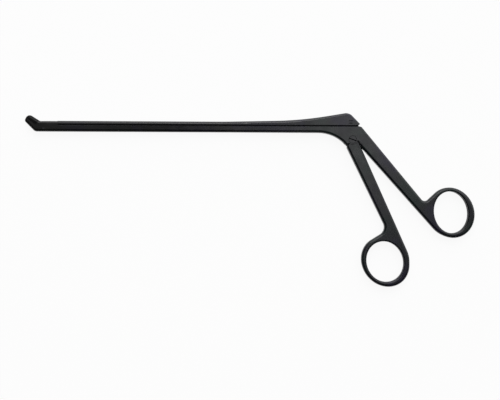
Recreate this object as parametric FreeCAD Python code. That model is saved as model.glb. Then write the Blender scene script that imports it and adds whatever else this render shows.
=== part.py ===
import FreeCAD, Part
import math
import os

# Pituitary rongeur lying on its side. Millimetres.
# While it is drawn, X runs along the shaft from the jaws to the handles, Y points
# from the finger ring up to the slide, Z is the thickness and the origin is the
# centre of the handle pivot. At the end everything moves so that the origin is the
# middle of the underside of the whole instrument.

Vec = FreeCAD.Vector

# Shaft
shaft_reach = 191.45          # handle pivot to the outermost point of the jaws
shaft_floor = 3.95            # handle pivot up to the underside of the bar
bar_height = 3.95             # underside of the bar to the seam under the slide
slide_height = 2.3            # seam to the top of the slide along the straight shaft
shaft_width = 3.6
jaw_width = 3.2
edge_round = 1.5              # rounding of every outside edge
hole_round = 0.9              # rounding of the rings' inner edges
seam_break = 0.5              # depth of the V groove along the seam on each flank
seam_break_height = 0.5       # its height on each side of the seam
seam_gap = 0.04               # running gap between bar and slide

# Body at the back of the shaft
body_width = 5.6
body_start = 24.0             # full body width begins this far in front of the pivot
body_taper = 38.0             # length over which the shaft widens to the body
width_blend = 240.0           # radius that softens the start and end of the widening
rise_start = 75.0             # the top of the slide begins to rise here
rise_start_round = 400.0
rise_knee = 29.8              # and rises faster from here
rise_at_knee = 0.95           # rise of the slide's top by the knee
peak_x = -2.05                # corner between the rising top and the rear slope
peak_height = 7.91            # seam to that corner
rise_round = 208.0
peak_round = 5.0
slide_foot_x = 4.4            # foot of the rear slope
slide_foot_height = 1.3       # seam to that foot
slide_foot_round = 1.5
body_corner_drop = 0.15       # seam down to the body's rear corner
tail_x = 3.1                  # the slide's tail leaves the seam here
tail_slope = 45.0             # slope of the tail's underside, in degrees
shelf_slope = 15.0            # slope of the body's top behind it, in degrees
body_corner_round = 4.0
throat_round = 21.6           # arc under the body, in front of the finger handle
throat_x = -3.86              # end of that arc beside the finger handle
throat_y = -3.2
throat_slope = 50.1           # slope of the outline there, in degrees

# Jaws, which turn up at the elbow
tip_slope = 45.0              # slope of the fixed jaw's back
top_slope = 32.0              # slope of the moving jaw's back
bite_slope = 39.0             # slope of the face where the jaws meet
nose_slope = 62.0             # slope of the blunt front end
heel_back = 5.9               # tip to where the fixed jaw's back meets the underside
heel_round = 3.0
elbow_back = 8.6              # tip to where the moving jaw's back meets the top
elbow_round = 0.6
nose_low_round = 1.6
nose_high_round = 2.4
bite_heel_back = 5.95         # tip to where the bite face meets the seam
bite_gap = 0.04
cup_radius = 1.0              # spoon hollow in each jaw
cup_length = 3.0              # between the centres of its round ends
cup_start = 1.5               # from the bite heel to the first of them

# Clevis, jaw pivot and link at the front
clevis_back = 8.1             # from the jaw pivot back to the front end of the slide
jaw_pivot_back = 11.15        # tip to the jaw pivot
jaw_pivot_rise = 1.85         # above the underside of the bar
jaw_pin_radius = 0.6
hub_radius = 1.3
fork_slot = 2.2               # slot between the cheeks of the clevis
side_play = 0.05              # gap beside each flat piece in a slot
pin_play = 0.05               # radial running clearance of every pin
link_height = 2.95            # jaw pivot up to the link pin
link_pin_radius = 0.42
link_eye_radius = 1.0
neck_angle = 151.0            # direction of the neck from the hub to the moving jaw
neck_width = 1.4
neck_root = 0.4               # the neck runs this far into the moving jaw
lever_thick = 0.9
wall_play = 0.12              # room round the jaw where it turns in the clevis
jaw_seat_radius = 4.85        # round front end of the clevis cheeks, about the jaw pivot

# Drive at the back
stroke = 2.5                  # travel of the slide
drive_pin_height = 10.17      # handle pivot up to the drive pin
drive_pin_radius = 0.8
arm_root_radius = 2.6         # half width of the drive arm at the handle pivot
blade_thick = 2.2
blade_eye_radius = 1.6
blade_hub_radius = 3.2
lobe_radius = 2.9             # round ends of the body cheeks about the handle pivot
shoulder_gap = 0.2            # between the lobes and the shoulder of the finger handle
slot_room = 0.3               # round the blade where it swings in the body and slide
pocket_room = 0.9             # in front of and behind the blade's end in the slide
shoulder_angle = -20.0        # direction in which the finger handle's shoulder ends
notch_gap = 0.3               # between the two handles where they part
stop_play = 1.0               # degrees left between shoulder and cheek when open

# Match mark on the slide, two strokes over the drive pin
pin_cover = 0.8               # metal left over the blind end of the drive pin
mark_length = 2.3
mark_apart = 1.4
mark_width = 0.45
mark_depth = 0.3

# Handle pivot screw
screw_radius = 1.3
screw_tip_radius = 1.1
screw_head_radius = 2.3
screw_head_thick = 0.9
screw_head_bevel = 0.2
screw_slot_width = 0.6
screw_slot_depth = 0.55
screw_slot_angle = -20.0
pin_short = 0.05              # each pin ends this far inside the surface
seat_play = 0.01              # round a pin or thread that stays still in its hole

# Slide guide, a T-shaped rail
rail_neck = 1.0
rail_head = 1.9
rail_neck_height = 0.7
rail_head_height = 0.8
rail_length = 14.0
rail_inset = 3.0              # from each end of the guide to its T key

# Handles
handle_end_thick = 4.2        # thickness at the rings
handle_taper_blend = 600.0
thumb_root_x = 11.76
thumb_root_y = -6.2
thumb_root_width = 7.57
thumb_ring_x = 57.98
thumb_ring_y = -42.35
thumb_shank_aim_x = -13.0     # the shank's middle line passes this point of the ring
thumb_shank_aim_y = -2.2
thumb_shank_end_width = 5.75
thumb_ring_long = 14.99
thumb_ring_wide = 13.34
thumb_ring_angle = 114.4
thumb_band_long = 2.72        # width of the ring's band at its long end
thumb_band_wide = 3.44        # and at its side
thumb_hole_angle = 100.4
thumb_hole_shift_x = -0.28
thumb_hole_shift_y = 0.22
thumb_notch_angle = 133.0     # direction in which the notch meets the ring
thumb_notch_round = 2.6
thumb_blend_angle = -112.0    # direction in which the blend meets the ring

finger_root_x = 1.72
finger_root_y = -6.25
finger_root_width = 7.53
finger_ring_x = 19.60
finger_ring_y = -71.24
finger_shank_aim_x = 4.6
finger_shank_aim_y = 17.2
finger_shank_end_width = 6.0
finger_ring_long = 15.25
finger_ring_wide = 13.39
finger_ring_angle = 127.8
finger_band_long = 3.18
finger_band_wide = 2.70
finger_hole_angle = 113.2
finger_hole_shift_x = -0.20
finger_hole_shift_y = 0.11
finger_notch_angle = 122.0
finger_notch_round = 5.0
finger_blend_angle = 0.0
blend_round = 16.0            # where a shank runs into the side of its ring

# Levels and lengths worked out from the sizes above
seam = shaft_floor + bar_height
shaft_top = seam + slide_height
tall = 2.0 * body_width       # more than any thickness of the instrument
beyond = 2.0 * shaft_reach    # further from the pivot than any point of the instrument
heel_x = heel_back - shaft_reach
elbow_x = elbow_back - shaft_reach
bite_heel_x = bite_heel_back - shaft_reach
jaw_pivot_x = jaw_pivot_back - shaft_reach
jaw_pivot_y = shaft_floor + jaw_pivot_rise
link_y = jaw_pivot_y + link_height
half_stroke = stroke / 2.0
drive_pin_x = -half_stroke
link_pin_x = jaw_pivot_x - half_stroke
thumb_hole_long = thumb_ring_long - thumb_band_long
thumb_hole_wide = thumb_ring_wide - thumb_band_wide
finger_hole_long = finger_ring_long - finger_band_long
finger_hole_wide = finger_ring_wide - finger_band_wide


def side(x, y):
    return Vec(x, y, 0)


def plan(x, z):
    return Vec(x, 0, z)


def outline(corners, place=side):
    """Closed wire through corners (x, y, radius), each rounded by a tangent arc."""
    starts = []
    ends = []
    middles = []
    count = len(corners)
    for i in range(count):
        x, y, radius = corners[i]
        here = Vec(x, y, 0)
        before = Vec(corners[i - 1][0], corners[i - 1][1], 0) - here
        after = Vec(corners[(i + 1) % count][0], corners[(i + 1) % count][1], 0) - here
        before.normalize()
        after.normalize()
        half = before.getAngle(after) / 2.0
        if radius > 0 and abs(half - math.pi / 2.0) > 1e-6:
            reach = radius / math.tan(half)
            inward = before + after
            inward.normalize()
            starts.append(here + before * reach)
            ends.append(here + after * reach)
            middles.append(here + inward * (radius / math.sin(half) - radius))
        else:
            starts.append(here)
            ends.append(here)
            middles.append(None)
    edges = []
    for i in range(count):
        follow = (i + 1) % count
        if middles[i] is not None:
            arc = [place(p.x, p.y) for p in (starts[i], middles[i], ends[i])]
            edges.append(Part.Arc(arc[0], arc[1], arc[2]).toShape())
        if (starts[follow] - ends[i]).Length > 1e-6:
            line_start = place(ends[i].x, ends[i].y)
            line_end = place(starts[follow].x, starts[follow].y)
            edges.append(Part.makeLine(line_start, line_end))
    return Part.Wire(edges)


def plate(corners, thick, low=None):
    """Flat piece of the side outline, centred on the middle plane unless low is given."""
    face = Part.Face(outline(corners))
    start = -thick / 2.0 if low is None else low
    face.translate(Vec(0, 0, start))
    return face.extrude(Vec(0, 0, thick))


def pin(x, y, radius, thick, low=None):
    start = -thick / 2.0 if low is None else low
    return Part.makeCylinder(radius, thick, Vec(x, y, start), Vec(0, 0, 1))


def toward(start, turn, distance):
    """Point at a distance from another, in a direction given in degrees."""
    angle = math.radians(turn)
    return (start[0] + distance * math.cos(angle), start[1] + distance * math.sin(angle))


def crossing(point_a, turn_a, point_b, turn_b):
    """Where two lines meet, each given by a point and a direction in degrees."""
    ax, ay = math.cos(math.radians(turn_a)), math.sin(math.radians(turn_a))
    bx, by = math.cos(math.radians(turn_b)), math.sin(math.radians(turn_b))
    dx, dy = point_b[0] - point_a[0], point_b[1] - point_a[1]
    t = (dx * by - dy * bx) / (ax * by - ay * bx)
    return (point_a[0] + t * ax, point_a[1] + t * ay)


def direction(start, end):
    """Direction in degrees from one point to another."""
    return math.degrees(math.atan2(end[1] - start[1], end[0] - start[0]))


def ellipse_plate(x, y, long, wide, turn, thick):
    curve = Part.Ellipse(Vec(0, 0, 0), long, wide)
    face = Part.Face(Part.Wire([curve.toShape()]))
    face.rotate(Vec(0, 0, 0), Vec(0, 0, 1), turn)
    face.translate(Vec(x, y, -thick / 2.0))
    return face.extrude(Vec(0, 0, thick))


def ring_point(x, y, long, wide, turn, facing):
    """Point of the ellipse whose outward normal has the direction facing."""
    angle = math.radians(facing - turn)
    along = long * long * math.cos(angle)
    across = wide * wide * math.sin(angle)
    reach = math.hypot(long * math.cos(angle), wide * math.sin(angle))
    spin = math.radians(turn)
    px = (along * math.cos(spin) - across * math.sin(spin)) / reach
    py = (along * math.sin(spin) + across * math.cos(spin)) / reach
    return (x + px, y + py)


# Blanks, with every outside edge rounded

def rim_edges(solid, keep):
    """Edges between a flank and a side face whose middle passes the test keep."""
    faces_of = {}
    for face in solid.Faces:
        for edge in face.Edges:
            faces_of.setdefault(edge.hashCode(), []).append((edge, face))
    found = []
    for pairs in faces_of.values():
        if len(pairs) != 2:
            continue
        edge = pairs[0][0]
        middle = edge.valueAt((edge.FirstParameter + edge.LastParameter) / 2.0)
        leans = []
        for _, face in pairs:
            u, v = face.Surface.parameter(middle)
            leans.append(abs(face.normalAt(u, v).z))
        if min(leans) < 0.2 and max(leans) > 0.8 and keep(middle):
            found.append(edge)
    return found


def plan_outline(inset):
    """Outline seen from above the shaft: narrow at the jaws and shaft, wide at the body."""
    widths = [
        (-beyond, jaw_width, 0),
        (elbow_x - jaw_width, jaw_width, width_blend / 4.0),
        (elbow_x + jaw_width, shaft_width, width_blend / 4.0),
        (-body_start - body_taper, shaft_width, width_blend),
        (-body_start, body_width, width_blend),
        (beyond, body_width, 0),
    ]
    corners = [(x, width / 2.0 - inset, radius) for x, width, radius in widths]
    corners += [(x, inset - width / 2.0, radius) for x, width, radius in reversed(widths)]
    return outline(corners, plan)


def width_envelope():
    """Everything within the plan outline."""
    face = Part.Face(plan_outline(0.0))
    face.translate(Vec(0, -beyond, 0))
    return face.extrude(Vec(0, 2.0 * beyond, 0))


def handle_envelope(root, aim, ring):
    """Everything within a handle's thickness, which thins evenly from its root to its ring."""
    thick = body_width / 2.0
    thin = handle_end_thick / 2.0
    reach = math.hypot(ring[0] - root[0], ring[1] - root[1]) + ring[2] + tall
    profile = [
        (-beyond, thick, 0),
        (0.0, thick, handle_taper_blend),
        (reach, thin, 0),
        (reach, -thin, 0),
        (0.0, -thick, handle_taper_blend),
        (-beyond, -thick, 0),
    ]
    face = Part.Face(outline(profile, plan))
    face.translate(Vec(0, -beyond, 0))
    envelope = face.extrude(Vec(0, 2.0 * beyond, 0))
    envelope.rotate(Vec(0, 0, 0), Vec(0, 0, 1), direction(root, aim))
    envelope.translate(Vec(root[0], root[1], 0))
    return envelope


def shank_corners(root, root_width, aim, end_width, ring,
                  notch_side, notch_facing, notch_round, blend_facing):
    """Corners (x, y, radius) of a shank that runs into its ring.

    Its edge on notch_side (1 is left of the way down the shank) meets the ring at a
    notch, and its other edge runs into the ring's flank. Both join the ring along a
    tangent, where the ring's outward direction is the facing given in degrees."""
    turn = direction(root, aim)
    edges = []
    for hand in (notch_side, -notch_side):
        start = toward(root, turn + 90.0 * hand, root_width / 2.0)
        end = toward(aim, turn + 90.0 * hand, end_width / 2.0)
        edges.append((start, direction(start, end)))
    notch_touch = ring_point(*ring, notch_facing)
    blend_touch = ring_point(*ring, blend_facing)
    notch = crossing(*edges[0], notch_touch, notch_facing + 90.0)
    blend = crossing(*edges[1], blend_touch, blend_facing + 90.0)
    return [
        (*edges[0][0], 0),
        (*notch, notch_round),
        (*notch_touch, 0),
        (ring[0], ring[1], 0),
        (*blend_touch, 0),
        (*blend, blend_round),
        (*edges[1][0], 0),
    ]


# Whole outlines

def thumb_ring():
    return (thumb_ring_x, thumb_ring_y, thumb_ring_long, thumb_ring_wide, thumb_ring_angle)


def finger_ring():
    return (finger_ring_x, finger_ring_y, finger_ring_long, finger_ring_wide, finger_ring_angle)


def thumb_aim():
    return (thumb_ring_x + thumb_shank_aim_x, thumb_ring_y + thumb_shank_aim_y)


def finger_aim():
    return (finger_ring_x + finger_shank_aim_x, finger_ring_y + finger_shank_aim_y)


def thumb_shank():
    """Corners from the outer root round the ring's underside to the inner root."""
    root = (thumb_root_x, thumb_root_y)
    return shank_corners(
        root, thumb_root_width, thumb_aim(), thumb_shank_end_width, thumb_ring(),
        1, thumb_notch_angle, thumb_notch_round, thumb_blend_angle)


def finger_shank():
    """Corners from the front root round the ring's back to the rear root."""
    root = (finger_root_x, finger_root_y)
    return shank_corners(
        root, finger_root_width, finger_aim(), finger_shank_end_width, finger_ring(),
        -1, finger_notch_angle, finger_notch_round, finger_blend_angle)


def frame_outline():
    """Bar, slide, jaws, body and thumb handle in one outline, clockwise from the nose."""
    heel = (heel_x, shaft_floor)
    elbow = (elbow_x, shaft_top)
    low = crossing(heel, 180.0 - tip_slope, (-shaft_reach - nose_low_round * nose_tuck(), 0), 90.0)
    high = crossing(low, nose_slope, elbow, 180.0 - top_slope)
    shank = thumb_shank()
    outer_turn = direction(shank[0], shank[1])
    body_corner = crossing(shank[0], outer_turn, (0, seam - body_corner_drop), 0.0)
    throat = crossing(heel, 0.0, (throat_x, throat_y), -throat_slope)
    throat_end = toward((throat_x, throat_y), -throat_slope, lobe_radius)
    inner_top = crossing(shank[-1], direction(shank[-2], shank[-1]), (0, -lobe_radius), 0.0)
    return [
        (low[0], low[1], nose_low_round),
        (high[0], high[1], nose_high_round),
        (elbow[0], elbow[1], elbow_round),
        (-rise_start, shaft_top, rise_start_round),
        (-rise_knee, shaft_top + rise_at_knee, rise_round),
        (peak_x, seam + peak_height, peak_round),
        (slide_foot_x, seam + slide_foot_height, slide_foot_round),
        (body_corner[0], body_corner[1], body_corner_round),
        *shank[1:-1],
        (inner_top[0], inner_top[1], 0),
        (throat_end[0], throat_end[1], 0),
        (throat[0], throat[1], throat_round),
        (heel[0], heel[1], heel_round),
    ]


def nose_tuck():
    """How far, in radii, the nose's lower corner stands out in front of its arc."""
    back_slope = math.radians(tip_slope)
    half_turn = math.radians(180.0 - tip_slope - nose_slope) / 2.0
    return math.cos(back_slope) * math.tan(half_turn) + math.sin(back_slope) - 1.0


# Finger handle and what gives it room

def finger_edges():
    """The front and rear edge of the finger handle's shank, each as a point and a direction."""
    shank = finger_shank()
    front = (shank[0], direction(shank[0], shank[1]))
    rear = (shank[-1], direction(shank[-1], shank[-2]))
    return front, rear


def stroke_angle():
    """Swing of the finger handle, in degrees, from closed to open."""
    return 2.0 * math.degrees(math.atan2(half_stroke, drive_pin_height))


def jaw_angle():
    """Swing of the upper jaw, in degrees, from closed to open."""
    return 2.0 * math.degrees(math.atan2(half_stroke, link_height))


def throat_turn():
    return direction((0, 0), (throat_x, throat_y))


def sector(first_turn, last_turn, thick):
    """Wedge about the handle pivot between two directions, going anticlockwise."""
    middle_turn = (first_turn + last_turn) / 2.0
    corners = [(0, 0, 0)]
    for turn in (first_turn, middle_turn, last_turn):
        corners.append((*toward((0, 0), turn, beyond), 0))
    return plate(corners, thick)


def finger_room():
    """Space below the cheeks' lobes where the thick part of the finger handle swings."""
    rear_point, rear_turn = finger_edges()[1]
    notch_point = toward(rear_point, rear_turn + 90.0, notch_gap)
    notch_top = crossing(notch_point, rear_turn, (0, -notch_gap), 0.0)
    notch_low = toward(notch_top, rear_turn, beyond)
    swing_start = toward((0, 0), throat_turn(), beyond)
    corners = [
        (0, 0, 0),
        (notch_top[0], notch_top[1], 0),
        (notch_low[0], notch_low[1], 0),
        (swing_start[0], notch_low[1], 0),
        (swing_start[0], swing_start[1], 0),
    ]
    return plate(corners, tall).cut(pin(0, 0, lobe_radius, tall))


def rounded_both_sides(solid, ring, keep):
    """The solid with its rims rounded: one half is rounded, mirrored and joined to itself."""
    upper = Part.makeBox(2.0 * beyond, 2.0 * beyond, tall, Vec(-beyond, -beyond, 0))
    half = solid.common(upper)

    def in_ring(middle):
        return math.hypot(middle.x - ring[0], middle.y - ring[1]) < ring[3]

    def outside(middle):
        return keep(middle) and not in_ring(middle)

    half = half.makeFillet(edge_round, rim_edges(half, outside))
    half = half.makeFillet(hole_round, rim_edges(half, in_ring))
    return half.fuse(half.mirror(Vec(0, 0, 0), Vec(0, 0, 1))).removeSplitter()


def frame_blank():
    """Bar, slide, jaws and thumb handle as one solid with its outside edges rounded."""
    solid = plate(frame_outline(), tall).fuse(ellipse_plate(*thumb_ring(), tall))
    solid = solid.cut(thumb_hole()).cut(finger_room()).removeSplitter()
    solid = solid.common(width_envelope())
    solid = solid.common(handle_envelope((thumb_root_x, thumb_root_y), thumb_aim(), thumb_ring()))
    clear = math.hypot(throat_x, throat_y) + notch_gap

    def free_edge(middle):
        return middle.z > edge_round and math.hypot(middle.x, middle.y) > clear

    return rounded_both_sides(solid, thumb_ring(), free_edge)


def thumb_hole():
    ring = (thumb_ring_x + thumb_hole_shift_x, thumb_ring_y + thumb_hole_shift_y)
    return ellipse_plate(*ring, thumb_hole_long, thumb_hole_wide, thumb_hole_angle, tall)


def finger_hole():
    ring = (finger_ring_x + finger_hole_shift_x, finger_ring_y + finger_hole_shift_y)
    return ellipse_plate(*ring, finger_hole_long, finger_hole_wide, finger_hole_angle, tall)


def finger_blank():
    """The finger handle's shank and ring as one solid with its outside edges rounded."""
    shank = finger_shank()
    front, rear = finger_edges()
    climb = 2.0 * body_width
    front_top = toward(*front, -climb)
    rear_top = toward(*rear, -climb)
    corners = [(*front_top, 0), *shank[1:-1], (*rear_top, 0)]
    solid = plate(corners, tall).fuse(ellipse_plate(*finger_ring(), tall))
    solid = solid.cut(finger_hole()).removeSplitter()
    solid = solid.common(handle_envelope((finger_root_x, finger_root_y), finger_aim(), finger_ring()))

    def free_edge(middle):
        return middle.z > edge_round

    return rounded_both_sides(solid, finger_ring(), free_edge)


# Cutting shapes of the shaft

def slide_front():
    return jaw_pivot_x + clevis_back


def block(x_low, x_high, y_low, y_high, width):
    return Part.makeBox(x_high - x_low, y_high - y_low, width, Vec(x_low, y_low, -width / 2.0))


def slide_zone(gap):
    """Everything above the seam and behind the clevis."""
    return block(slide_front() - gap, beyond, seam, beyond, tall)


def seam_grooves():
    """V grooves along the seam on both flanks, which bevel the edges of bar and slide."""
    reach = 2.0 * seam_break_height
    grooves = block(slide_front(), beyond, seam - reach, seam + reach, tall)
    for hand in (-1.0, 1.0):
        floor = plan_outline(seam_break)
        rim = plan_outline(-seam_break)
        floor.translate(Vec(0, seam, 0))
        rim.translate(Vec(0, seam + hand * reach, 0))
        grooves = grooves.cut(Part.makeLoft([floor, rim], True, True))
    return grooves


def tail_notch():
    """Wedge of air between the slide's tail and the body's top behind it."""
    corners = [(tail_x, seam, 0)]
    for turn in (-shelf_slope, tail_slope):
        corners.append((*toward((tail_x, seam), turn, tall), 0))
    return plate(corners, tall)


def jaw_zone(lift, seat_radius):
    """Everything above the bite face and the seam, in front of the clevis cheeks."""
    bite_end = toward((bite_heel_x, seam + lift), 180.0 - bite_slope, beyond)
    corners = [
        (bite_end[0], bite_end[1], 0),
        (bite_heel_x, seam + lift, 0),
        (jaw_pivot_x, seam + lift, 0),
        (jaw_pivot_x, bite_end[1], 0),
    ]
    return plate(corners, tall).cut(pin(jaw_pivot_x, jaw_pivot_y, seat_radius, tall))


def spoon():
    """Round-ended hollow along the bite face, half of it in each jaw."""
    heel = (bite_heel_x, seam)
    ends = [toward(heel, 180.0 - bite_slope, cup_start + d) for d in (0.0, cup_length)]
    start = Vec(ends[0][0], ends[0][1], 0)
    along = Vec(ends[1][0], ends[1][1], 0) - start
    rod = Part.makeCylinder(cup_radius, along.Length, start, along)
    balls = [Part.makeSphere(cup_radius, start + along * k) for k in (0.0, 1.0)]
    return rod.fuse(balls).removeSplitter()


def neck(extra):
    """The moving jaw's neck, from its hub out into the jaw, widened by extra on each side."""
    half = neck_width / 2.0 + extra
    length = jaw_seat_radius + neck_root
    start = (jaw_pivot_x, jaw_pivot_y)
    end = toward(start, neck_angle, length)
    left = [toward(point, neck_angle + 90.0, half) for point in (start, end)]
    right = [toward(point, neck_angle - 90.0, half) for point in (start, end)]
    return [(*left[0], 0), (*left[1], 0), (*right[1], 0), (*right[0], 0)]


def fork_room():
    """The slot in the clevis for the jaw's hub and neck and for the slide's tongue."""
    low_root, low_front = neck(wall_play)[:2]
    floor = seam - wall_play - seam_break
    hub_room = hub_radius + wall_play
    corners = [
        (low_front[0], low_front[1], 0),
        (low_root[0], low_root[1], 0),
        (jaw_pivot_x + hub_room, jaw_pivot_y, 0),
        (jaw_pivot_x + half_stroke + link_eye_radius, floor, 0),
        (slide_front() + wall_play, floor, 0),
        (slide_front() + wall_play, beyond, 0),
        (low_front[0], beyond, 0),
    ]
    room = plate(corners, fork_slot)
    return room.fuse(pin(jaw_pivot_x, jaw_pivot_y, hub_room, fork_slot)).removeSplitter()


def rail(x_low, x_high, play):
    """T-shaped bar below the seam, widened by play on every side."""
    head_top = seam - rail_neck_height + play
    head_low = seam - rail_neck_height - rail_head_height - play
    neck_top = seam + slide_height / 2.0
    neck_bar = block(x_low, x_high, head_top, neck_top, rail_neck + 2.0 * play)
    head_bar = block(x_low, x_high, head_low, head_top, rail_head + 2.0 * play)
    return neck_bar.fuse(head_bar).removeSplitter()


def slot_front():
    return math.hypot(throat_x, throat_y) + slot_room


def slot_back():
    return blade_hub_radius + slot_room


def blade_slot():
    """Opening through the body from the throat up to the seam, where the blade swings."""
    width = blade_thick + 2.0 * side_play
    return block(-slot_front(), slot_back(), throat_y - tall, seam + tall, width)


def arm(x_a, y_a, radius_a, x_b, y_b, radius_b, thick):
    """Two discs and the straight flanks that touch both."""
    apart = math.hypot(x_b - x_a, y_b - y_a)
    heading = direction((x_a, y_a), (x_b, y_b))
    lean = math.degrees(math.acos((radius_a - radius_b) / apart))
    corners = []
    for turn, order in ((heading + lean, 1), (heading - lean, -1)):
        ends = [toward((x_a, y_a), turn, radius_a), toward((x_b, y_b), turn, radius_b)]
        corners += [(*point, 0) for point in ends[::order]]
    discs = [pin(x_a, y_a, radius_a, thick), pin(x_b, y_b, radius_b, thick)]
    return plate(corners, thick).fuse(discs).removeSplitter()


def radial_slot(x, y, pin_x, pin_y, near, radius, thick):
    """Slot along the line from a pivot to its pin, from the distance near to the pin."""
    heading = direction((x, y), (pin_x, pin_y))
    close = toward((x, y), heading, near)
    return arm(close[0], close[1], radius, pin_x, pin_y, radius, thick)


# Pieces

def fixed_frame(blank):
    screw_low = -blade_thick / 2.0 - side_play
    head_low = body_width / 2.0 - screw_head_thick
    solid = blank.cut([
        slide_zone(side_play),
        seam_grooves(),
        jaw_zone(0.0, jaw_seat_radius),
        spoon(),
        fork_room(),
        rail(slide_front() - side_play, -slot_front() + side_play, side_play),
        blade_slot(),
        tail_notch(),
    ])
    solid = solid.cut([
        pin(jaw_pivot_x, jaw_pivot_y, jaw_pin_radius + seat_play, tall),
        pin(0, 0, screw_tip_radius + seat_play, tall),
        pin(0, 0, screw_radius + seat_play, tall, screw_low),
        pin(0, 0, screw_head_radius + side_play, tall, head_low),
    ])
    return solid.removeSplitter()


def slide_bar(blank):
    solid = blank.common(slide_zone(0.0)).cut(seam_grooves())
    solid = solid.cut(block(-beyond, beyond, -beyond, seam + seam_gap, tall))
    tongue_width = fork_slot - 2.0 * side_play
    tongue_low = seam + seam_gap
    tongue_high = link_y + link_eye_radius
    tongue = block(link_pin_x, slide_front() + fork_slot, tongue_low, tongue_high, tongue_width)
    tongue = tongue.fuse(pin(link_pin_x, link_y, link_eye_radius, tongue_width))
    first_key = slide_front() + rail_inset
    last_key = -slot_front() - stroke - rail_inset
    keys = [
        rail(first_key, first_key + rail_length, 0.0),
        rail(last_key - rail_length, last_key, 0.0),
    ]
    solid = solid.fuse([tongue, *keys])
    lever_room = lever_thick + 2.0 * side_play
    pocket_half = blade_eye_radius + pocket_room
    pocket_top = drive_pin_height + blade_eye_radius + slot_room
    solid = solid.cut([
        block(-beyond, link_pin_x + 2.0 * link_eye_radius, seam - tall, beyond, lever_room),
        pin(link_pin_x, link_y, link_pin_radius + seat_play, tall),
        block(drive_pin_x - pocket_half, drive_pin_x + pocket_half, seam - tall, pocket_top,
              blade_thick + 2.0 * side_play),
        pin(drive_pin_x, drive_pin_height, drive_pin_radius + seat_play, tall, drive_pin_top() - tall),
        tail_notch(),
        *match_mark(),
    ])
    return solid.removeSplitter()


def match_mark():
    """Two engraved strokes on the slide's upper flank."""
    strokes = []
    for offset in (-mark_apart / 2.0, mark_apart / 2.0):
        stroke_bar = Part.makeBox(mark_length, mark_width, tall)
        low = Vec(drive_pin_x - mark_length / 2.0, drive_pin_height + offset - mark_width / 2.0,
                  body_width / 2.0 - mark_depth)
        stroke_bar.translate(low)
        strokes.append(stroke_bar)
    return strokes


def upper_jaw(blank):
    flat = fork_slot - 2.0 * side_play
    jaw = blank.common(jaw_zone(bite_gap, jaw_seat_radius + wall_play)).cut(spoon())
    hub = pin(jaw_pivot_x, jaw_pivot_y, hub_radius, flat)
    bar = plate(neck(0.0), flat)
    lever = arm(jaw_pivot_x, jaw_pivot_y, hub_radius, link_pin_x, link_y, link_eye_radius, lever_thick)
    jaw = jaw.fuse([hub, bar, lever])
    near = link_height - pin_play / 2.0
    eye_radius = link_pin_radius + pin_play
    jaw = jaw.cut([
        pin(jaw_pivot_x, jaw_pivot_y, jaw_pin_radius + pin_play, tall),
        radial_slot(jaw_pivot_x, jaw_pivot_y, link_pin_x, link_y, near, eye_radius, tall),
    ])
    return jaw.removeSplitter()


def jaw_pivot_pin():
    return pin(jaw_pivot_x, jaw_pivot_y, jaw_pin_radius, shaft_width - 2.0 * pin_short)


def jaw_link_pin():
    return pin(link_pin_x, link_y, link_pin_radius, fork_slot - 2.0 * side_play)


def finger_handle():
    blank = finger_blank()
    web_radius = math.hypot(throat_x, throat_y)
    shoulder_start = throat_turn() + stroke_angle() + stop_play
    thick = blank.common(sector(shoulder_start, shoulder_angle, tall))
    thick = thick.cut(pin(0, 0, lobe_radius + shoulder_gap, tall))
    web = blank.common(pin(0, 0, web_radius, blade_thick))
    blade = arm(0, 0, arm_root_radius, drive_pin_x, drive_pin_height, blade_eye_radius, blade_thick)
    solid = thick.fuse([web, pin(0, 0, blade_hub_radius, blade_thick), blade])
    near = drive_pin_height - pin_play
    solid = solid.cut([
        pin(0, 0, screw_radius + pin_play, tall),
        radial_slot(0, 0, drive_pin_x, drive_pin_height, near, drive_pin_radius + pin_play, tall),
    ])
    return solid.removeSplitter()


def handle_pivot_screw():
    top = body_width / 2.0 - pin_short
    low = -body_width / 2.0 + pin_short
    shank_low = -blade_thick / 2.0 - side_play
    head_low = body_width / 2.0 - screw_head_thick
    solid = pin(0, 0, screw_tip_radius, shank_low - low, low)
    solid = solid.fuse(pin(0, 0, screw_radius, head_low - shank_low, shank_low))
    head = pin(0, 0, screw_head_radius, top - head_low, head_low)
    rim = [edge for edge in head.Edges if edge.BoundBox.ZMin > (top + head_low) / 2.0]
    solid = solid.fuse(head.makeChamfer(screw_head_bevel, rim))
    slot_corner = Vec(-tall / 2.0, -screw_slot_width / 2.0, top - screw_slot_depth)
    slot = Part.makeBox(tall, screw_slot_width, tall, slot_corner)
    slot.rotate(Vec(0, 0, 0), Vec(0, 0, 1), screw_slot_angle)
    return solid.cut(slot).removeSplitter()


def drive_pin_top():
    return body_width / 2.0 - pin_cover


def slide_drive_pin():
    low = -body_width / 2.0 + pin_short
    return pin(drive_pin_x, drive_pin_height, drive_pin_radius, drive_pin_top() - low, low)


whole = frame_blank()
pieces = {
    "fixed_frame": fixed_frame(whole),
    "slide_bar": slide_bar(whole),
    "upper_jaw": upper_jaw(whole),
    "jaw_pivot_pin": jaw_pivot_pin(),
    "jaw_link_pin": jaw_link_pin(),
    "finger_handle": finger_handle(),
    "handle_pivot_screw": handle_pivot_screw(),
    "slide_drive_pin": slide_drive_pin(),
}

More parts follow.
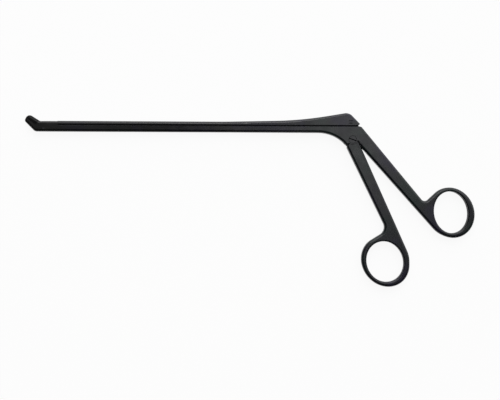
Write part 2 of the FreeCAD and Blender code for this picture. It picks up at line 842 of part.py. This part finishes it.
# Everything moves so that the origin is the middle of the underside
bounds = Part.makeCompound(list(pieces.values())).optimalBoundingBox(False, False)
shift = Vec(-(bounds.XMin + bounds.XMax) / 2.0, -(bounds.YMin + bounds.YMax) / 2.0, -bounds.ZMin)
os.makedirs("parts", exist_ok=True)
for name, shape in pieces.items():
    shape.translate(shift)
    shape.exportStep(os.path.join("parts", name + ".step"))
    print(name, shape.isValid(), len(shape.Solids), round(shape.Volume, 2))
print("size", round(bounds.XLength, 3), round(bounds.YLength, 3), round(bounds.ZLength, 3))
for name, x, y in (("handle pivot", 0.0, 0.0), ("jaw pivot", jaw_pivot_x, jaw_pivot_y)):
    print(name, round(x + shift.x, 4), round(y + shift.y, 4), round(shift.z, 4))
print("swings", round(stroke_angle(), 3), round(jaw_angle(), 3), "travel", stroke)
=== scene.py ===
import math
import bmesh
import bpy
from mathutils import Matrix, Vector


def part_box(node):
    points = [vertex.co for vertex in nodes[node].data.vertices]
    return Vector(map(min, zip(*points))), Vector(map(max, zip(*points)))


MM = 0.001

# Places along the instrument, in metres of X. The jaws are at the lowest X, the handles at the highest.
TIP_MATT_TO = -0.115
TIP_MATT_FROM = -0.100
SHAFT_DULL_FROM = -0.035
# The colour is darker on the shaft up to SHAFT_DARK_TO and lighter on the body from BODY_LIGHT_FROM: painted
# shade and painted light. The roughness changes there too.
SHAFT_DARK_TO = -0.03
BODY_LIGHT_FROM = 0.045

# Values of the finishes. Gloss is the specular level, and a roughness with two values varies between them.
GROUND_GLOSS = 0.36
BLASTED_GLOSS = 0.13
SHAFT_ROUGHNESS = (0.19, 0.27)
BODY_ROUGHNESS = (0.24, 0.34)
PIN_ROUGHNESS = (0.28, 0.4)
BLASTED_ROUGHNESS = 0.36
# Painted shade in crevices: the roughness there and the near-black colour mixed in there
CREVICE_ROUGHNESS = 0.9
PAINTED_SHADE = "#030303"
COATING_IOR = 1.5
TINT_SLICE = 0.1

# Ring spacing of a wave texture whose scale is 1
WAVE_SPACING = math.pi / 10.0

# Outputs of a Mix node that mixes numbers, and of one that mixes colours
MIXED_NUMBER = 0
MIXED_COLOUR = 2

# Floor and room. The floor lies just under the instrument.
FLOOR_HALF = 3.0
FLOOR_DROP = 0.05 * MM
FLOOR_GLOW = 0.92
LIT_SIDE = (0.35, 0.91, 0.20)
ROOM_DIM = 0.04
ROOM_LIGHT = 2.2

# Camera: lens and sensor in millimetres, turn in degrees
CAMERA_LENS = 67.7
CAMERA_SENSOR = 36.0
CAMERA_PLACE = (0.305 * MM, -0.33 * MM, 552.8 * MM)
CAMERA_TURN = 0.286

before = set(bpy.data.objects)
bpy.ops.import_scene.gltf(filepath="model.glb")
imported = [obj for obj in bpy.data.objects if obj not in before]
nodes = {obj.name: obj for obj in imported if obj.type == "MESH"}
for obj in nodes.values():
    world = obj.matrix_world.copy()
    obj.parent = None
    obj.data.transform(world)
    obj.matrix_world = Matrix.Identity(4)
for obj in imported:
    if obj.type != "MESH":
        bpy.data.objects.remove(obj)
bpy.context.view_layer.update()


# Colour and node helpers

def colour(code):
    """sRGB hex value as linear light."""
    parts = [int(code[i:i + 2], 16) / 255.0 for i in (1, 3, 5)]
    return [p / 12.92 if p <= 0.04045 else ((p + 0.055) / 1.055) ** 2.4 for p in parts] + [1.0]


def node(tree, kind, settings=None, links=None):
    """Adds a node. Settings name attributes, input sockets or the stops of a colour ramp;
    links give sockets their sources."""
    made = tree.nodes.new(kind)
    for key, value in (settings or {}).items():
        if key == "stops":
            elements = made.color_ramp.elements
            while len(elements) < len(value):
                elements.new(0.5)
            for element, (position, code) in zip(elements, value):
                element.position = position
                element.color = colour(code)
        elif isinstance(key, str) and hasattr(made, key) and key not in made.inputs:
            setattr(made, key, value)
        else:
            made.inputs[key].default_value = value
    for key, source in (links or {}).items():
        tree.links.new(source, made.inputs[key])
    return made


def scale_of(size):
    """Scale of a texture whose features are this many millimetres across."""
    return 1.0 / (size * MM)


def new_material(name):
    material = bpy.data.materials.new(name)
    material.use_nodes = True
    material.node_tree.nodes.clear()
    return material, material.node_tree


# Finishes

def crevices(tree):
    """Share of painted shade: 1 deep in slots, seams and engraved strokes, 0 on open surfaces."""
    open_sky = node(tree, "ShaderNodeAmbientOcclusion", {"samples": 8, "Distance": 0.7 * MM})
    share = node(tree, "ShaderNodeMapRange",
                 {"From Min": 0.92, "From Max": 0.62, "To Min": 0.0, "To Max": 1.0},
                 {"Value": open_sky.outputs["AO"]})
    return share.outputs["Result"]


def along_shaft(tree, place, start, end):
    """Share that goes smoothly from 0 at X = start to 1 at X = end."""
    reach = node(tree, "ShaderNodeSeparateXYZ", links={"Vector": place})
    share = node(tree, "ShaderNodeMapRange",
                 {"interpolation_type": "SMOOTHSTEP", "From Min": start, "From Max": end},
                 {"Value": reach.outputs["X"]})
    return share.outputs["Result"]


def surface_with_painted_shade(tree, base, rough, relief, gloss):
    """Surface of a material. Its crevices get painted shade, a near-black colour, and turn dull."""
    shade_share = crevices(tree)
    # Painted shade: crevices found by ambient occlusion turn near black
    shaded_base = node(tree, "ShaderNodeMix", {"data_type": "RGBA", "B": colour(PAINTED_SHADE)},
                  {"Factor": shade_share, "A": base})
    dull = node(tree, "ShaderNodeMix", {"data_type": "FLOAT", "B": CREVICE_ROUGHNESS},
                {"Factor": shade_share, "A": rough})
    shader = node(tree, "ShaderNodeBsdfPrincipled",
                  {"Metallic": 0.0, "IOR": COATING_IOR, "Specular IOR Level": gloss},
                  {"Base Color": shaded_base.outputs[MIXED_COLOUR], "Roughness": dull.outputs[MIXED_NUMBER],
                   "Normal": relief.outputs["Normal"]})
    node(tree, "ShaderNodeOutputMaterial", links={"Surface": shader.outputs["BSDF"]})


def coated_steel(name, grain_turn, gloss=GROUND_GLOSS):
    """Stainless steel with a black hard coating over a finely ground surface: a satin,
    almost neutral black whose hue drifts between violet and green, with faint grinding
    lines along the piece, uneven hand-ground flats and slightly rubbed sharp edges.
    The shaft is smoother than the body and handles, and its colour is darker, which is
    painted shade. The jaws are blasted, so towards them the coating turns dull and plain
    black. The grinding lines run at grain_turn degrees from the shaft."""
    material, tree = new_material(name)
    place = node(tree, "ShaderNodeTexCoord").outputs["Object"]
    toward_body = along_shaft(tree, place, SHAFT_DARK_TO, BODY_LIGHT_FROM)
    toward_jaws = along_shaft(tree, place, SHAFT_DULL_FROM, TIP_MATT_TO)
    toward_tip = along_shaft(tree, place, TIP_MATT_FROM, TIP_MATT_TO)

    # Tint of the coating drifts over about 25 mm. This slice of the noise has green on the thumb handle.
    slice_place = node(tree, "ShaderNodeMapping", {"Location": (0.0, 0.0, TINT_SLICE)}, {"Vector": place})
    drift = node(tree, "ShaderNodeTexNoise", {"Scale": scale_of(25.0), "Detail": 3.0, "Roughness": 0.6},
                 {"Vector": slice_place.outputs["Vector"]})
    body_tint = node(tree, "ShaderNodeValToRGB",
                     {"stops": [(0.36, "#0a1817"), (0.44, "#0e1215"), (0.50, "#101118"),
                                (0.57, "#121022"), (0.66, "#121118")]},
                     {"Fac": drift.outputs["Fac"]})
    # The shaft's colours are darker than the body's: painted shade for light that falls off away from the
    # body
    shaded_shaft_tint = node(tree, "ShaderNodeValToRGB",
                      {"stops": [(0.36, "#070a0a"), (0.46, "#07070a"), (0.56, "#0a0813"), (0.66, "#08080a")]},
                      {"Fac": drift.outputs["Fac"]})
    # Painted shade: the colour goes from the darker shaft colours to the lighter body colours along X
    tint_shaded_along_shaft = node(tree, "ShaderNodeMix", {"data_type": "RGBA"},
                       {"Factor": toward_body, "A": shaded_shaft_tint.outputs["Color"],
                        "B": body_tint.outputs["Color"]})
    tint_and_shade = node(tree, "ShaderNodeMix", {"data_type": "RGBA", "B": colour("#0a0a0a")},
                {"Factor": toward_tip, "A": tint_shaded_along_shaft.outputs[MIXED_COLOUR]})

    # Handling marks, patches of about 6 mm
    touch = node(tree, "ShaderNodeTexNoise", {"Scale": scale_of(6.25), "Detail": 4.0, "Roughness": 0.65},
                 {"Vector": place})

    # Sharp edges, where the normal turns within 0.25 mm, are rubbed a little lighter
    soft = node(tree, "ShaderNodeBevel", {"samples": 6, "Radius": 0.25 * MM})
    plain = node(tree, "ShaderNodeNewGeometry")
    turned = node(tree, "ShaderNodeVectorMath", {"operation": "DOT_PRODUCT"},
                  {0: soft.outputs["Normal"], 1: plain.outputs["Normal"]})
    edge = node(tree, "ShaderNodeMapRange",
                {"From Min": 0.995, "From Max": 0.88, "To Min": 0.0, "To Max": 0.35},
                {"Value": turned.outputs["Value"]})
    worn = node(tree, "ShaderNodeMath", {"operation": "MULTIPLY"},
                {0: edge.outputs["Result"], 1: touch.outputs["Fac"]})
    base = node(tree, "ShaderNodeMix", {"data_type": "RGBA", "B": colour("#4b4c50")},
                {"Factor": worn.outputs["Value"], "A": tint_and_shade.outputs[MIXED_COLOUR]})

    # Handling marks make the gloss uneven, and blasting makes it dull towards the jaws
    shaft_rough, body_rough = [
        node(tree, "ShaderNodeMapRange", {"From Min": 0.3, "From Max": 0.7, "To Min": low, "To Max": high},
             {"Value": touch.outputs["Fac"]}).outputs["Result"]
        for low, high in (SHAFT_ROUGHNESS, BODY_ROUGHNESS)]
    ground = node(tree, "ShaderNodeMix", {"data_type": "FLOAT"},
                  {"Factor": toward_body, "A": shaft_rough, "B": body_rough})
    rough = node(tree, "ShaderNodeMix", {"data_type": "FLOAT", "B": BLASTED_ROUGHNESS},
                 {"Factor": toward_jaws, "A": ground.outputs[MIXED_NUMBER]})

    # Grinding lines, about 0.1 mm apart on the real one, drawn at 0.4 mm so that they show.
    # They are stretched to 25 times that along the piece.
    along = node(tree, "ShaderNodeMapping", {"Rotation": (0.0, 0.0, -math.radians(grain_turn))},
                 {"Vector": place})
    lines = node(tree, "ShaderNodeMapping", {"Scale": (0.04, 1.0, 1.0)}, {"Vector": along.outputs["Vector"]})
    grind = node(tree, "ShaderNodeTexNoise", {"Scale": scale_of(0.4), "Detail": 2.0, "Roughness": 0.6},
                 {"Vector": lines.outputs["Vector"]})
    # Grain of the coating, drawn at 0.3 mm so that it shows
    grit = node(tree, "ShaderNodeTexNoise", {"Scale": scale_of(0.30303), "Detail": 1.0}, {"Vector": place})
    both = node(tree, "ShaderNodeMath", {"operation": "ADD"},
                {0: grind.outputs["Fac"], 1: grit.outputs["Fac"]})
    # Hand-ground flats are uneven over about 12 mm
    waves = node(tree, "ShaderNodeTexNoise", {"Scale": scale_of(12.5), "Detail": 1.0}, {"Vector": place})
    uneven = node(tree, "ShaderNodeBump", {"Strength": 1.0, "Distance": 0.12 * MM},
                  {"Height": waves.outputs["Fac"]})
    relief = node(tree, "ShaderNodeBump", {"Strength": 0.3, "Distance": 0.0045 * MM},
                  {"Height": both.outputs["Value"], "Normal": uneven.outputs["Normal"]})
    surface_with_painted_shade(tree, base.outputs[MIXED_COLOUR], rough.outputs[MIXED_NUMBER], relief, gloss)
    return material


def blackened_pin(name, centre):
    """Turned and blackened steel pin, ground flush: a spotty dark grey a little lighter than
    the coating, with fine rings about its centre on its ends."""
    material, tree = new_material(name)
    place = node(tree, "ShaderNodeTexCoord").outputs["Object"]
    # Blackening leaves spots of about 1 mm
    spots = node(tree, "ShaderNodeTexNoise", {"Scale": scale_of(1.1111), "Detail": 3.0}, {"Vector": place})
    base = node(tree, "ShaderNodeValToRGB", {"stops": [(0.35, "#1b1c1f"), (0.7, "#2a2b2f")]},
                {"Fac": spots.outputs["Fac"]})
    low, high = PIN_ROUGHNESS
    rough = node(tree, "ShaderNodeMapRange",
                 {"From Min": 0.3, "From Max": 0.7, "To Min": low, "To Max": high},
                 {"Value": spots.outputs["Fac"]})
    # Turning rings, drawn 0.6 mm apart so that they show
    middle = node(tree, "ShaderNodeMapping", {"Location": [-c for c in centre]}, {"Vector": place})
    rings = node(tree, "ShaderNodeTexWave",
                 {"wave_type": "RINGS", "rings_direction": "Z", "Scale": WAVE_SPACING * scale_of(0.604),
                  "Distortion": 0.4},
                 {"Vector": middle.outputs["Vector"]})
    relief = node(tree, "ShaderNodeBump", {"Strength": 0.3, "Distance": 0.01 * MM},
                  {"Height": rings.outputs["Fac"]})
    surface_with_painted_shade(tree, base.outputs["Color"], rough.outputs["Result"], relief, GROUND_GLOSS)
    return material


def dress(name, material):
    """Gives a carried-over node its finish."""
    mesh = nodes[name].data
    mesh.materials.clear()
    mesh.materials.append(material)


def centre_of(name):
    low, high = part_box(name)
    return [(a + b) / 2.0 for a, b in zip(low, high)]


dress("fixed_frame", coated_steel("black_coated_steel_frame", 0.0))
dress("slide_bar", coated_steel("black_coated_steel_slide", 0.0))
dress("upper_jaw", coated_steel("black_coated_steel_jaw", -39.0, BLASTED_GLOSS))
dress("finger_handle", coated_steel("black_coated_steel_handle", -71.0))
for pin in ("jaw_pivot_pin", "jaw_link_pin", "slide_drive_pin", "handle_pivot_screw"):
    dress(pin, blackened_pin("blackened_" + pin, centre_of(pin)))


# Floor, background and light

def seen_directly(tree):
    """1 for camera, glossy and transmission rays, which all see the same white ground."""
    path = node(tree, "ShaderNodeLightPath")
    either = node(tree, "ShaderNodeMath", {"operation": "MAXIMUM"},
                  {0: path.outputs["Is Camera Ray"], 1: path.outputs["Is Glossy Ray"]})
    return node(tree, "ShaderNodeMath", {"operation": "MAXIMUM"},
                {0: either.outputs["Value"], 1: path.outputs["Is Transmission Ray"]}).outputs["Value"]


def pale_floor():
    """Large pale matt floor, which looks white and keeps a faint shadow of the instrument."""
    mesh = bpy.data.meshes.new("floor")
    build = bmesh.new()
    bmesh.ops.create_grid(build, x_segments=1, y_segments=1, size=FLOOR_HALF)
    bmesh.ops.translate(build, verts=build.verts, vec=(0.0, 0.0, -FLOOR_DROP))
    build.to_mesh(mesh)
    build.free()
    floor = bpy.data.objects.new("floor", mesh)
    bpy.context.scene.collection.objects.link(floor)
    material, tree = new_material("pale_floor")
    matt = node(tree, "ShaderNodeBsdfDiffuse", {"Color": colour("#f2f2f2")})
    white = node(tree, "ShaderNodeEmission", {"Color": colour("#ffffff"), "Strength": 1.0})
    share = node(tree, "ShaderNodeMath", {"operation": "MULTIPLY", 1: FLOOR_GLOW}, {0: seen_directly(tree)})
    shown = node(tree, "ShaderNodeMixShader", links={
        "Fac": share.outputs["Value"], 1: matt.outputs["BSDF"], 2: white.outputs["Emission"]})
    node(tree, "ShaderNodeOutputMaterial", links={"Surface": shown.outputs["Shader"]})
    mesh.materials.append(material)


def soft_box(name, place, aim, width, height, power):
    """Rectangular area lamp that faces the point aim. Lengths are in metres, power in watts."""
    lamp = bpy.data.lights.new(name, "AREA")
    lamp.shape = "RECTANGLE"
    lamp.size = width
    lamp.size_y = height
    lamp.energy = power
    made = bpy.data.objects.new(name, lamp)
    bpy.context.scene.collection.objects.link(made)
    made.location = place
    made.rotation_euler = (Vector(place) - Vector(aim)).to_track_quat("Z", "Y").to_euler()


def room():
    """Dim room, lighter behind and to the right of the instrument."""
    world = bpy.data.worlds.new("room")
    bpy.context.scene.world = world
    world.use_nodes = True
    tree = world.node_tree
    tree.nodes.clear()
    toward = node(tree, "ShaderNodeTexCoord").outputs["Generated"]
    lit_side = node(tree, "ShaderNodeVectorMath", {"operation": "DOT_PRODUCT", 1: LIT_SIDE}, {0: toward})
    level = node(tree, "ShaderNodeMapRange",
                 {"interpolation_type": "SMOOTHSTEP", "From Min": 0.1, "From Max": 0.95,
                  "To Min": ROOM_DIM, "To Max": ROOM_LIGHT},
                 {"Value": lit_side.outputs["Value"]})
    walls = node(tree, "ShaderNodeBackground", {"Color": colour("#ffffff")},
                 {"Strength": level.outputs["Result"]})
    node(tree, "ShaderNodeOutputWorld", links={"Surface": walls.outputs["Background"]})


def studio():
    """The body and handles mirror the main soft box, the shaft's rounded top the rear strip."""
    pale_floor()
    soft_box("main_soft_box", place=(0.11, 0.06, 0.75), aim=(0.05, 0.01, 0.0),
             width=0.20, height=0.34, power=0.47)
    soft_box("rear_strip", place=(-0.09, 0.68, 0.75), aim=(-0.03, 0.02, 0.0),
             width=0.27, height=0.5, power=2.1)
    room()


def camera():
    """Looks straight down at the instrument from 0.55 m, turned by the photograph's slight tilt."""
    lens = bpy.data.cameras.new("camera")
    lens.lens = CAMERA_LENS
    lens.sensor_width = CAMERA_SENSOR
    made = bpy.data.objects.new("camera", lens)
    bpy.context.scene.collection.objects.link(made)
    made.location = CAMERA_PLACE
    made.rotation_euler = (0.0, 0.0, math.radians(CAMERA_TURN))
    bpy.context.scene.camera = made


studio()
camera()
bpy.context.scene.view_settings.view_transform = "Standard"
